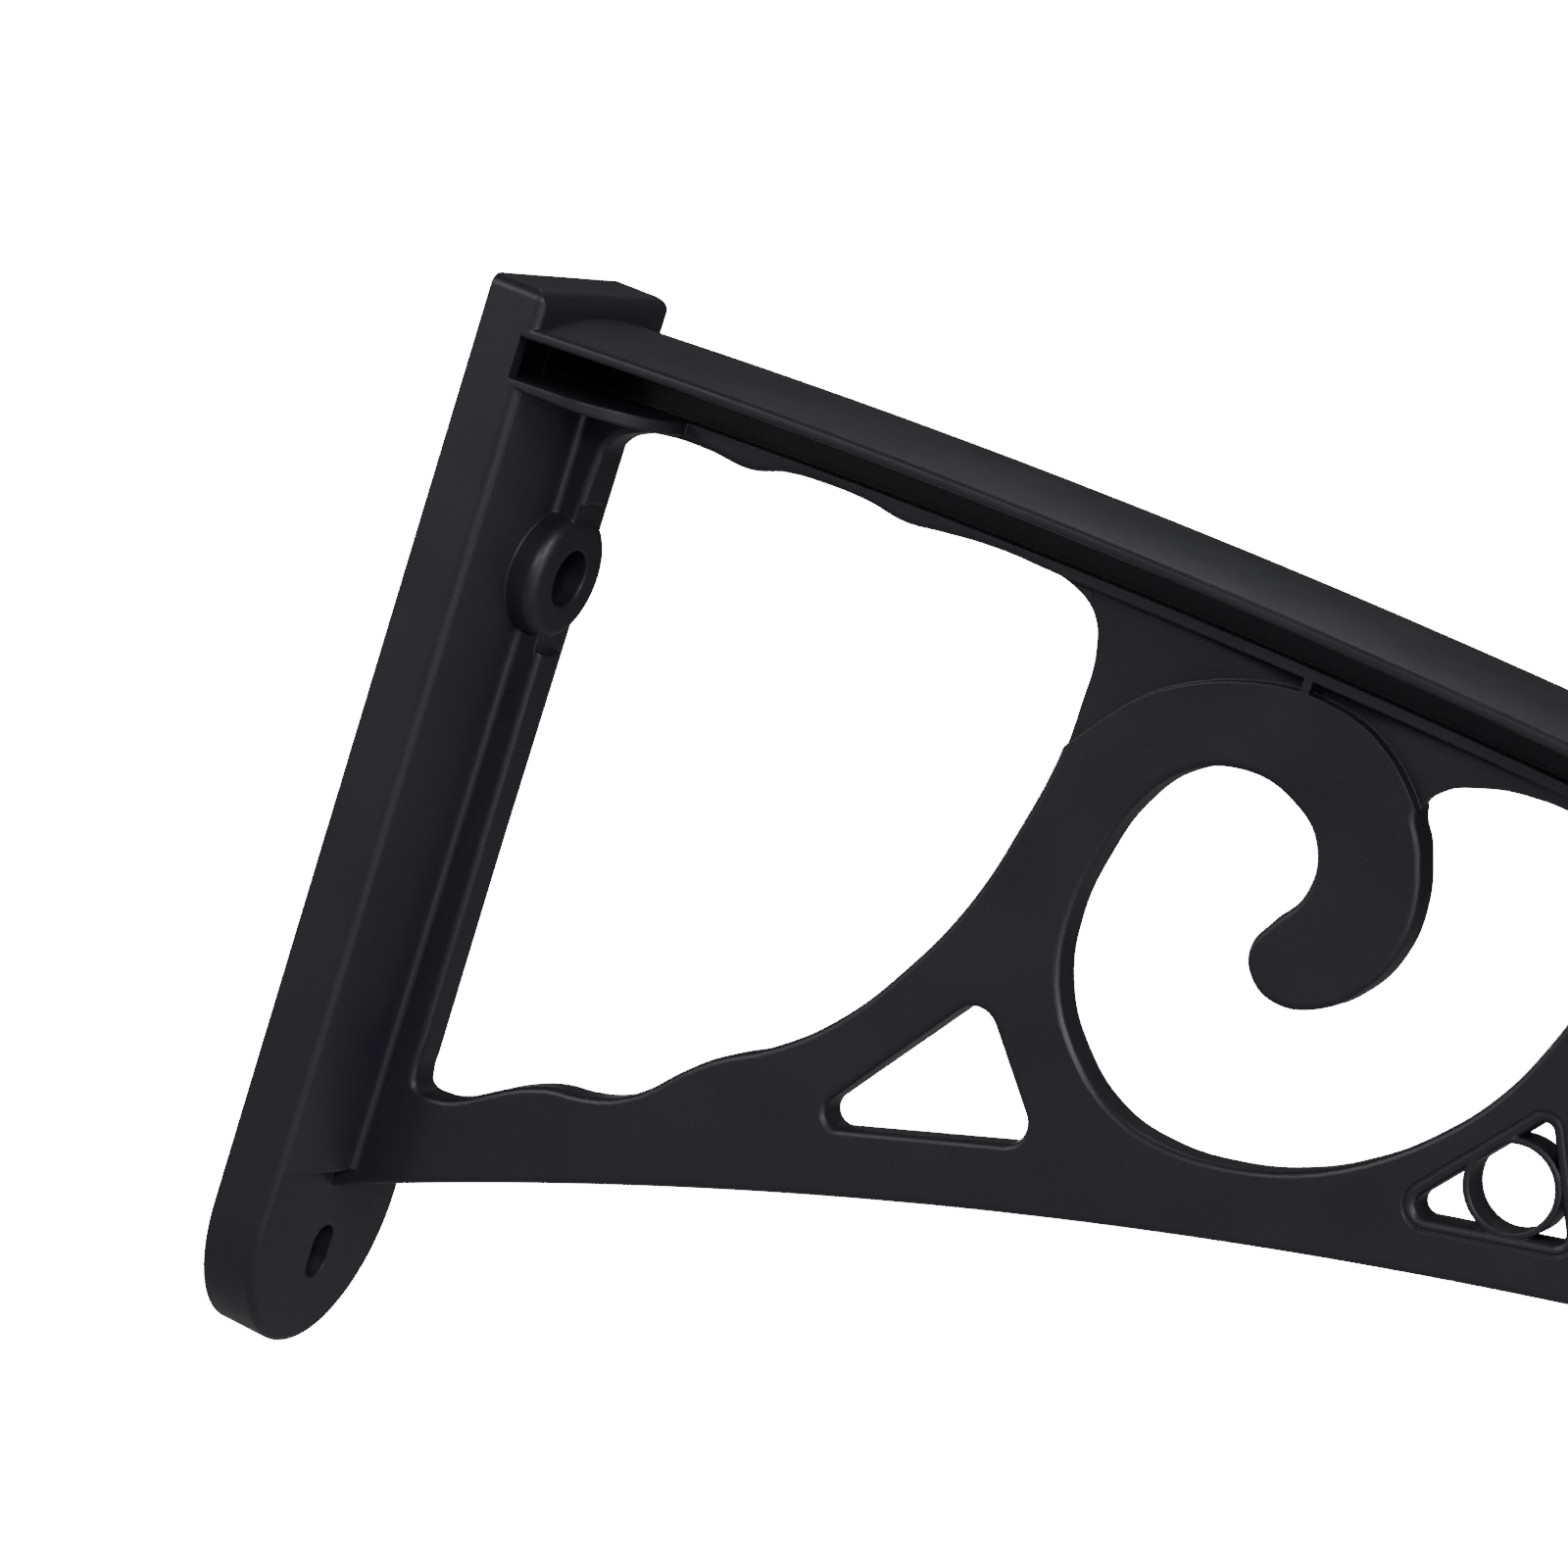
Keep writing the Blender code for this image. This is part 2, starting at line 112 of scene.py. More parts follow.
OUTER_OPENING = (
    (512, 219), (515, 207.5), (522.5, 196.5), (534, 189.5), (550, 187.0), (575, 187.6), (600, 189.0),
    (625, 190.2), (643, 190.9), (652, 193.6), (653.6, 198.0), (644, 203.3), (620, 208.6), (590, 214.4),
    (560, 219.4), (532, 223.6), (516.5, 224.6),
)
# Corners of the two triangles and the radius of each corner's rounding
LEFT_TRIANGLE = ((136.0, 104.2, 4.0), (172.9, 155.1, 6.5), (198.5, 125.3, 5.5))
RING_TRIANGLE = ((287.4, 146.9, 3.0), (315.4, 183.0, 2.2), (329.0, 156.4, 2.5))
RING_CENTRE = (0.3123, 0.1638)
SCROLL_RIM = (
    (160, 196), (166, 209), (174.2, 221.8), (186.3, 237.0), (199, 245.6), (212, 250.8), (225.5, 253.2),
    (240, 251.7), (251, 246.4), (259.5, 238.5), (265, 229), (268, 220),
)
SPANDREL_TICK = (0.2244, 0.2266)
SPANDREL_START = 0.149
SPANDREL_END = 0.3215
BOSS_HEIGHT = 0.2088
FOOT_SLOT_HEIGHT = 0.0160

PLATE_CORNER = 0.003               # rounding of the plate's two upper corners, seen from the front
SWELL_TOP = 0.266                  # drawing height where the bulging front ends inside the slot
SHELF = (0.2546, 0.262)            # drawing heights of the tongue under the slot
NOSE_LENGTH = 0.016                # length and height of the web's rounded end under the flange's tip
NOSE_RISE = 0.014
NOSE_GAP = 0.002                   # the web's end stays this far behind the flange's tip
TIP_ROUNDING = 0.014               # rounding of the tip's corners, seen from above
FLANGE_ROUNDING = 0.0009
RING_ROUNDING = 0.0005
SLOT_END = 0.830                   # the slots' cutters end beyond the tip
OUTSIDE = 0.040                    # distance at which a cutter is clear of the part

# The stage: each light's name, place and diameter. They all face the aim.
LIGHT_AIM = (0.16, 0.0, 0.03)
LIGHTS = (
    ("front", (1.0, -2.6, 1.13), 0.45),
    ("left", (-1.8, -2.2, 0.98), 0.45),
    ("wide_left", (-2.0, -1.7, 0.8), 2.5),
    ("right", (1.9, -0.9, 1.5), 1.0),
    ("wide_right", (2.6, -0.6, 0.4), 3.0),
    ("crown", (-0.45, 1.25, 1.95), 0.9),
    ("back", (-0.9, 0.9, -0.2), 0.3),
)
FLOOR_RADIUS = 40.0
FLOOR_GREY = 0.36                  # how pale the floor is to everything but the camera


def length(name, description, default, **extra):
    """A size in metres."""
    return FloatProperty(name=name, description=description, default=default, min=0.0, precision=4,
                         unit="LENGTH", **extra)


def power(name, description, default):
    """The power of a light in watts."""
    return FloatProperty(name=name, description=description, default=default, min=0.0, unit="POWER")


def colour(name, description, default):
    return FloatVectorProperty(name=name, description=description, default=default, size=3, min=0.0,
                               max=1.0, subtype="COLOR")


class PlateSizes(bpy.types.PropertyGroup):
    """The plate that is screwed to the wall"""
    width: length("Width", "Width of the wall plate", SOLID_HIGH.y - SOLID_LOW.y)
    depth: length("Depth", "How far the plate's side stands off the wall", 0.0162)
    top: length("Top", "Drawing height of the plate's top", SOLID_HIGH.z + ORIGIN_HEIGHT)
    shoulder: length("Shoulder", "Drawing height where the rounded foot begins", 0.028)
    edge: length("Edge", "Rounding of the plate's front edge", 0.0024)
    brow: length("Brow", "Rounding of the plate's front edge at its top", 0.0050)
    swell_front: length("Swell front", "How far the bulging front reaches beside the web", 0.0213)
    swell_side: length("Swell side", "How far the bulging front reaches at the plate's side", 0.0156)
    swell_foot: length("Swell foot", "Drawing height of the ledge over the foot", 0.0422)
    foot_slot_width: length("Foot slot width", "Width of the lower screw's long hole", 0.0094)
    foot_slot_length: length("Foot slot length", "Height of the lower screw's long hole", 0.0150)


class BossSizes(bpy.types.PropertyGroup):
    """The round boss of the upper screw"""
    radius: length("Radius", "Radius of the boss", 0.0170)
    front: length("Front", "How far the boss stands off the wall", 0.0283)
    seat: length("Seat", "Where the rib is cut back around the boss", 0.0275)
    seat_margin: length("Seat margin", "Reach of that cut beyond the boss", 0.0034)
    edge: length("Edge", "Rounding of the boss's front edge", 0.0034)
    head_radius: length("Head radius", "Radius of the recess for the screw's head", 0.0075)
    head_floor: length("Head floor", "Distance of the recess's floor from the wall", 0.0110)
    screw_radius: length("Screw radius", "Radius of the screw's hole", 0.0042)


class BeamSizes(bpy.types.PropertyGroup):
    """The crowned top of the arm, with a sheet slot on each side"""
    reach: length("Reach", "How far the arm stands out from the wall", SOLID_HIGH.x)
    top_radius: length("Top radius", "Radius of the beam's arc at its two long edges", 2.5737)
    crown: length("Crown", "Rise of the flange at its middle", 0.0040)
    edge: length("Edge", "Thickness of the flange at its long edges", 0.0028)
    slot_height: length("Slot height", "Height of the sheet slots", 0.0105)
    slot_start: length("Slot start", "Where the slots begin in the plate", 0.0122)
    pocket_start: length("Pocket start", "Where the slots begin behind the plate's side wall", 0.0045)
    side_wall: length("Side wall", "Thickness of the plate's side wall at the pocket", 0.0045)
    lip: length("Lip", "Height of the lip under each slot", 0.0028)


class WebSizes(bpy.types.PropertyGroup):
    """The pierced web with its scroll, triangles and ring"""
    thickness: length("Thickness", "Thickness of the web", 0.0112)
    thin: length("Thin", "Thickness of the sunk faces and of the neck between the slots", 0.0042)
    edge: length("Edge", "Rounding of the web's edges", 0.0018)
    fillet: length("Fillet", "Fillet between the web and the plate's bulging front", 0.0020)
    cove: length("Cove", "Height of the hollow curve from the lip down to the sunk faces", 0.0034)
    ring_radius: length("Ring radius", "Outer radius of the ring", 0.0120)
    ring_hole: length("Ring hole", "Radius of the ring's hole", 0.0103)
    line_offset: length("Line offset", "Distance of the sunk line from the ring's triangle", 0.0023)
    line_width: length("Line width", "Width of the sunk line round the ring's triangle", 0.0008)
    line_depth: length("Line depth", "Depth of the sunk line round the ring's triangle", 0.0004)
    curve_steps: IntProperty(name="Curve steps", description="Steps between two points of an outline",
                             default=8, min=1, max=16)


class PlasticLook(bpy.types.PropertyGroup):
    """The black plastic"""
    base: colour("Colour", "Colour of the plastic", (0.0102, 0.0096, 0.0150))
    dust: colour("Dust", "Colour of the thin dust on faces that look up", (0.075, 0.074, 0.072))
    roughness: FloatProperty(name="Roughness", description="Roughness of the moulded faces", default=0.42,
                             min=0.0, max=1.0, subtype="FACTOR")
    softness: length("Softness", "Radius by which light sees every edge rounded", 0.0009)


class StageLook(bpy.types.PropertyGroup):
    """Floor and light"""
    floor: colour("Floor", "Colour of the floor and of the surround", (1.0, 1.0, 1.0))
    glow: FloatProperty(name="Glow", description="Brightness of the floor and the surround in the camera",
                        default=17.0, min=0.0)
    floor_drop: length("Floor drop", "Distance from the bracket's foot down to the floor", 0.30)
    front: power("Front", "Power of the light over the camera", 29.0)
    left: power("Left", "Power of the light on the wall's side", 22.0)
    wide_left: power("Wide left", "Power of the wide light on the wall's side", 16.0)
    right: power("Right", "Power of the high light on the tip's side", 28.0)
    wide_right: power("Wide right", "Power of the wide light that faces the wall", 44.0)
    crown: power("Crown", "Power of the light that the beam's top mirrors", 4.8)
    back: power("Back", "Power of the low light on the side that the camera doesn't see", 10.0)
    sky: FloatProperty(name="Sky", description="Strength of the light from all round", default=0.06,
                       min=0.0)


def drop(x, height):
    """Move a point of the drawing so that the origin is at the middle of the wall plate."""
    return x, height - ORIGIN_HEIGHT


def from_millimetres(points):
    return [drop(x / 1000, height / 1000) for x, height in points]


def steps(first, last, count):
    return [first + (last - first) * i / count for i in range(count + 1)]


def beam_height(radius, x):
    """Height of one of the beam's concentric arcs at a distance from the wall."""
    return BEAM_CENTRE[1] + math.sqrt(radius ** 2 - (x - BEAM_CENTRE[0]) ** 2)


def arm_low_height(x):
    """Height of the arm's lower edge: an arc that flattens away from the wall."""
    return ARM_CENTRE[1] + math.sqrt(ARM_LOW_RADIUS ** 2 - (x - ARM_CENTRE[0]) ** 2)


def circle_through(first, second, third):
    """Centre and radius of the circle through three points."""
    (ax, ay), (bx, by), (cx, cy) = first, second, third
    a, b, c = ax ** 2 + ay ** 2, bx ** 2 + by ** 2, cx ** 2 + cy ** 2
    twice = 2 * (ax * (by - cy) + bx * (cy - ay) + cx * (ay - by))
    x = (a * (by - cy) + b * (cy - ay) + c * (ay - by)) / twice
    y = (a * (cx - bx) + b * (ax - cx) + c * (bx - ax)) / twice
    return x, y, math.hypot(ax - x, ay - y)


def rounded_corners(corners, segments, grow=0.0):
    """A polygon with arcs for corners, each given as X, height and radius; grow moves its sides out."""
    points = []
    count = len(corners)
    for i in range(count):
        corner = Vector(corners[i][:2])
        radius = corners[i][2] + grow
        to_last = (Vector(corners[i - 1][:2]) - corner).normalized()
        to_next = (Vector(corners[(i + 1) % count][:2]) - corner).normalized()
        half = to_last.angle(to_next) / 2
        bisector = (to_last + to_next).normalized()
        corner = corner - bisector * grow / math.sin(half)
        centre = corner + bisector * radius / math.sin(half)
        start = corner + to_last * radius / math.tan(half) - centre
        end = corner + to_next * radius / math.tan(half) - centre
        turn = start.angle_signed(end)
        for k in range(segments + 1):
            spot = Matrix.Rotation(-turn * k / segments, 2) @ start + centre
            points.append((spot.x, spot.y))
    return points


def through(points, count):
    """More points on a smooth line through the given ones."""
    line = []
    for i in range(1, len(points) - 2):
        before, start, end, after = [Vector(p) for p in points[i - 1:i + 3]]
        square = 2 * before - 5 * start + 4 * end - after
        cube = 3 * start - before - 3 * end + after
        for t in steps(0, 1, count)[:-1]:
            line.append(0.5 * (2 * start + (end - before) * t + square * t ** 2 + cube * t ** 3))
    return [tuple(p) for p in line] + [points[-2]]


def upright(side=0.0):
    """Stands a flat outline up: its second axis becomes Z, its thickness runs along Y."""
    return Matrix.Translation((0, side, 0)) @ Matrix.Rotation(math.pi / 2, 4, "X")


def facing(depth):
    """Turns a flat outline to face out from the wall: its axes become Y and Z."""
    return Matrix(((0, 0, 1, depth), (1, 0, 0, 0), (0, 1, 0, 0), (0, 0, 0, 1)))


def lying(low, high):
    """Lays a flat outline between two drawing heights, in metres."""
    return Matrix.Translation((0, 0, (low + high) / 2 - ORIGIN_HEIGHT))


def in_order(body):
    """Sort a mesh by place and start each face at its first corner, so that every run gives the same mesh."""
    def corners(part):
        return sorted(vert.index for vert in part.verts)

    for parts, place in ((body.verts, lambda vert: vert.co[:]), (body.edges, corners), (body.faces, corners)):
        rank = {part: i for i, part in enumerate(sorted(parts, key=place))}
        parts.sort(key=rank.get)
        parts.index_update()
    for face in list(body.faces):
        ring = list(face.verts)
        first = ring.index(min(ring, key=lambda vert: vert.index))
        body.faces.remove(face)
        body.faces.new(ring[first:] + ring[:first])


def body_from(name, body):
    """A work object from a closed bmesh, with its faces turned out."""
    bmesh.ops.recalc_face_normals(body, faces=body.faces)
    in_order(body)
    mesh = bpy.data.meshes.new(name)
    body.to_mesh(mesh)
    body.free()
    return bpy.data.objects.new(name, mesh)


def slab(name, outlines, half, matrix, rounding=0.0, segments=3, resolution=8):
    """A flat outline with holes, given its thickness and rounded edges."""
    curve = bpy.data.curves.new(name, "CURVE")
    curve.dimensions = "2D"
    curve.fill_mode = "BOTH"
    curve.resolution_u = resolution
    curve.extrude = half - rounding
    curve.bevel_depth = rounding
    curve.bevel_resolution = segments if rounding else 0
    curve.offset = -rounding
    for points, smooth in outlines:
        spline = curve.splines.new("BEZIER" if smooth else "POLY")
        if smooth:
            spline.bezier_points.add(len(points) - 1)
            for knot, (x, y) in zip(spline.bezier_points, points):
                knot.co = (x, y, 0)
                knot.handle_left_type = knot.handle_right_type = "AUTO"
        else:
            spline.points.add(len(points) - 1)
            for knot, (x, y) in zip(spline.points, points):
                knot.co = (x, y, 0, 1)
        spline.use_cyclic_u = True
    holder = bpy.data.objects.new(name + "_curve", curve)
    bpy.context.scene.collection.objects.link(holder)
    bpy.context.view_layer.update()
    evaluated = holder.evaluated_get(bpy.context.evaluated_depsgraph_get())
    mesh = bpy.data.meshes.new_from_object(evaluated)
    bpy.data.objects.remove(holder)
    bpy.data.curves.remove(curve)
    body = bmesh.new()
    body.from_mesh(mesh)
    bpy.data.meshes.remove(mesh)
    bmesh.ops.remove_doubles(body, verts=body.verts, dist=0.00002)
    bmesh.ops.transform(body, matrix=matrix, verts=body.verts)
    return body_from(name, body)


def turned(name, profile, height, segments=96):
    """A solid turned about a line along X; the profile is (distance from the wall, radius)."""
    body = bmesh.new()
    points = [body.verts.new((x, 0, radius + height - ORIGIN_HEIGHT)) for x, radius in profile]
    lines = [body.edges.new(pair) for pair in zip(points, points[1:])]
    bmesh.ops.spin(body, geom=points + lines, cent=(0, 0, height - ORIGIN_HEIGHT), axis=(1, 0, 0),
                   angle=math.tau, steps=segments, use_merge=True, use_duplicate=False)
    bmesh.ops.remove_doubles(body, verts=body.verts, dist=0.00001)
    bmesh.ops.dissolve_degenerate(body, edges=body.edges, dist=0.00001)
    return body_from(name, body)


def along_beam(name, section, first, last, segments):
    """Sweeps a section, given as side and radius, along the beam's arc between two distances."""
    centre = Vector((BEAM_CENTRE[0], 0, BEAM_CENTRE[1] - ORIGIN_HEIGHT))
    start, end = [math.asin((x - BEAM_CENTRE[0]) / section[0][1]) for x in (first, last)]
    turn = Matrix.Rotation(start, 3, "Y")
    body = bmesh.new()
    corners = [body.verts.new(centre + turn @ Vector((0, y, r))) for y, r in section]
    face = body.faces.new(corners)
    bmesh.ops.spin(body, geom=[face] + list(face.edges) + corners, cent=centre, axis=(0, 1, 0),
                   angle=end - start, steps=segments, use_duplicate=False)
    return body_from(name, body)


def keep(kind, *bodies):
    """Put work bodies in the collection of that kind until the moulding is joined."""
    group = bpy.data.collections.get(kind)
    if group is None:
        group = bpy.data.collections.new(kind)
        bpy.context.scene.collection.children.link(group)
    for body in bodies:
        body.display_type = "WIRE"
        body.hide_render = True
        group.objects.link(body)


def combine(base, kind, operation):
    """Join the bodies of one kind to the base, or cut them from it, and bake the result."""
    group = bpy.data.collections[kind]
    step = base.modifiers.new(kind, "BOOLEAN")
    step.operation = operation
    step.solver = "EXACT"
    step.operand_type = "COLLECTION"
    step.collection = group
    bpy.context.view_layer.update()
    evaluated = base.evaluated_get(bpy.context.evaluated_depsgraph_get())
    mesh = bpy.data.meshes.new_from_object(evaluated)
    base.modifiers.clear()
    base.data = mesh
    result = bmesh.new()
    result.from_mesh(mesh)
    in_order(result)
    bmesh.ops.remove_doubles(result, verts=result.verts, dist=0.000002)
    bmesh.ops.dissolve_degenerate(result, edges=result.edges, dist=0.000002)
    bmesh.ops.triangulate(result, faces=result.faces)
    result.to_mesh(mesh)
    result.free()
    for body in list(group.objects):
        bpy.data.objects.remove(body)
    bpy.data.collections.remove(group)


class BRACKET_OT_web(bpy.types.Operator):
    """Make the pierced web with its openings"""
    bl_idname = "bracket.web"
    bl_label = "Web"

    def execute(self, context):
        web = context.scene.bracket_web
        beam = context.scene.bracket_beam
        nose = beam.reach - NOSE_LENGTH - NOSE_GAP
        nose_low = arm_low_height(nose)
        outline = [drop(x, arm_low_height(x)) for x in steps(0.010, nose, 100)]
        outline += [drop(nose + NOSE_LENGTH * math.sin(a), nose_low + NOSE_RISE * (1 - math.cos(a)))
                    for a in steps(0, math.pi / 2, 14)[1:]]
        outline += [drop(x, beam_height(beam.top_radius - 0.0005, x))
                    for x in steps(nose + NOSE_LENGTH, 0.006, 100)]
        holes = [(from_millimetres(points), True)
                 for points in (WALL_OPENING, SCROLL_OPENING, MIDDLE_OPENING, OUTER_OPENING)]
        holes += [(from_millimetres(rounded_corners(corners, 12)), False)
                  for corners in (LEFT_TRIANGLE, RING_TRIANGLE)]
        keep("web", slab("web", [(outline, False)] + holes, web.thickness / 2, upright(), web.edge,
                         resolution=web.curve_steps))
        return {"FINISHED"}


class BRACKET_OT_wall_plate(bpy.types.Operator):
    """Make the wall plate, its bulging front, the tongue under the slot and the foot's long hole"""
    bl_idname = "bracket.wall_plate"
    bl_label = "Wall plate"

    def execute(self, context):
        plate = context.scene.bracket_plate
        half = plate.width / 2
        foot = SOLID_LOW.z + ORIGIN_HEIGHT
        corner = PLATE_CORNER
        points = [(half - corner + corner * math.sin(a), plate.top - corner + corner * math.cos(a))
                  for a in steps(0, math.pi / 2, 8)]
        points += [(half * math.cos(a), plate.shoulder - (plate.shoulder - foot) * math.sin(a))
                   for a in steps(0, math.pi, 64)]
        points += [(-half + corner - corner * math.cos(a), plate.top - corner + corner * math.sin(a))
                   for a in steps(0, math.pi / 2, 8)]
        outline = [drop(y, z) for y, z in points]
        keep("joined", slab("plate", [(outline, False)], plate.depth, facing(0), plate.edge, 4),
             self.swell(context), self.shelf(context), self.fillet(context))
        keep("cut", self.foot_slot(plate), self.brow(plate))
        return {"FINISHED"}

    def swell(self, context):
        """The bulging front of the plate, a segment of a round column, from the foot to the slot."""
        plate = context.scene.bracket_plate
        web = context.scene.bracket_web
        half = plate.width / 2
        cx, cy, radius = circle_through(
            (plate.swell_side, half), (plate.swell_front, web.thickness / 2), (plate.swell_side, -half))
        turn = math.asin(half / radius)
        points = [(0.006, -half + 0.002), (plate.swell_side - 0.0018, -half)]
        points += [(cx + radius * math.cos(a), cy + radius * math.sin(a))
                   for a in steps(-turn + 0.02, turn - 0.02, 64)]
        points += [(plate.swell_side - 0.0018, half), (0.006, half - 0.002)]
        return slab("swell", [(points, False)], (SWELL_TOP - plate.swell_foot) / 2,
                    lying(plate.swell_foot, SWELL_TOP), 0.0006, 2)

    def fillet(self, context):
        """Concave fillets along the web's foot, from the ledge up to the shelf."""
        plate = context.scene.bracket_plate
        web = context.scene.bracket_web
        front = plate.swell_front - 0.0001
        side = web.thickness / 2 - 0.00004
        bend = [(front + web.fillet * (1 - math.cos(a)), side + web.fillet * (1 - math.sin(a)))
                for a in steps(0, math.pi / 2, 8)]
        points = [(0.018, side + web.fillet)] + bend + [(x, -y) for x, y in reversed(bend)]
        points += [(0.018, -side - web.fillet)]
        low = plate.swell_foot + 0.0005
        return slab("fillet", [(points, False)], (0.256 - low) / 2, lying(low, 0.256))

    def brow(self, plate):
        """Cuts the plate's upper front edge round."""
        top = plate.top
        points = [(plate.depth - plate.brow * (1 - math.sin(a)), top - plate.brow * (1 - math.cos(a)))
                  for a in steps(0, math.pi / 2, 12)]
        points += [(0.022, top - plate.brow), (0.022, top + 0.002), (plate.depth - plate.brow, top + 0.002)]
        return slab("brow", [([drop(x, z) for x, z in points], False)], OUTSIDE, upright())

    def shelf(self, context):
        """The tongue under the sheet slot, where the lip widens to the plate."""
        half = context.scene.bracket_plate.width / 2
        web_half = context.scene.bracket_web.thickness / 2
        bend = [(0.027 + 0.023 * math.sin(a), web_half - 0.001 + (half - web_half + 0.001) * math.cos(a))
                for a in steps(0, math.pi / 2, 32)]
        points = [(0.006, -half), (0.006, half)] + bend + [(x, -y) for x, y in reversed(bend)]
        return slab("shelf", [(points, False)], (SHELF[1] - SHELF[0]) / 2, lying(*SHELF), 0.0007, 3)

    def foot_slot(self, plate):
        radius = plate.foot_slot_width / 2
        rise = plate.foot_slot_length / 2 - radius
        points = []
        for shift, start, end in ((rise, 0, math.pi), (-rise, math.pi, math.tau)):
            points += [drop(radius * math.cos(a), FOOT_SLOT_HEIGHT + shift + radius * math.sin(a))
                       for a in steps(start, end, 24)]
        return slab("foot_slot", [(points, False)], 0.030, facing(0))


class BRACKET_OT_boss(bpy.types.Operator):
    """Make the upper screw's boss with its sunk head recess"""
    bl_idname = "bracket.boss"
    bl_label = "Screw boss"

    def execute(self, context):
        boss = context.scene.bracket_boss
        side = boss.radius
        edge = boss.edge
        profile = [(0.004, 0), (0.004, side), (boss.front - edge, side)]
        profile += [(boss.front - edge + edge * math.sin(a), side - edge + edge * math.cos(a))
                    for a in steps(0, math.pi / 2, 6)[1:]]
        profile += [(boss.front, 0)]
        keep("joined", turned("boss", profile, BOSS_HEIGHT))
        keep("seat", turned("boss_seat", [(boss.seat, 0), (boss.seat, side + boss.seat_margin),
                                          (0.033, side + boss.seat_margin), (0.033, 0)], BOSS_HEIGHT))
        head = boss.head_radius
        keep("cut", turned("screw_head", [
            (boss.head_floor, 0), (boss.head_floor, head), (boss.front - 0.0006, head),
            (boss.front - 0.0002, head + 0.0002), (boss.front + 0.0004, head + 0.0008),
            (OUTSIDE, head + 0.0008), (OUTSIDE, 0)], BOSS_HEIGHT, 64))
        keep("cut", turned("screw", [(-0.010, 0), (-0.010, boss.screw_radius), (0.020, boss.screw_radius),
                                     (0.020, 0)], BOSS_HEIGHT, 48))
        return {"FINISHED"}


class BRACKET_OT_beam(bpy.types.Operator):
    """Make the crowned flange and the sheet slot on each side"""
    bl_idname = "bracket.beam"
    bl_label = "Beam"

    def execute(self, context):
        beam = context.scene.bracket_beam
        plate = context.scene.bracket_plate
        web = context.scene.bracket_web
        half = plate.width / 2
        top = beam.top_radius
        under = top - beam.edge
        soft = FLANGE_ROUNDING
        section = [(-half + soft - soft * math.cos(a), under + soft - soft * math.sin(a))
                   for a in steps(math.pi / 2, 0, 4)]
        section += [(-half + soft - soft * math.cos(a), top - soft + soft * math.sin(a))
                    for a in steps(0, math.pi / 2 - 0.3, 4)]
        section += [(y, top + beam.crown * (1 - (y / half) ** 2))
                    for y in steps(-half + soft, half - soft, 32)]
        section += [(-y, z) for y, z in reversed(section[:10])]
        keep("flange", along_beam("flange", section, 0.006, beam.reach, 96))
        for side in (1, -1):
            for first, last, count, inner, outer in (
                (beam.slot_start, SLOT_END, 96, web.thin / 2, OUTSIDE),
                (beam.pocket_start, beam.slot_start + 0.002, 2, web.thin / 2, half - beam.side_wall),
            ):
                outline = [drop(x, beam_height(under - beam.slot_height, x))
                           for x in steps(first, last, count)]
                outline += [drop(x, beam_height(under + 0.0012, x)) for x in steps(last, first, count)]
                keep("cut", slab("slot", [(outline, False)], (outer - inner) / 2,
                                 upright(side * (inner + outer) / 2)))
        return {"FINISHED"}


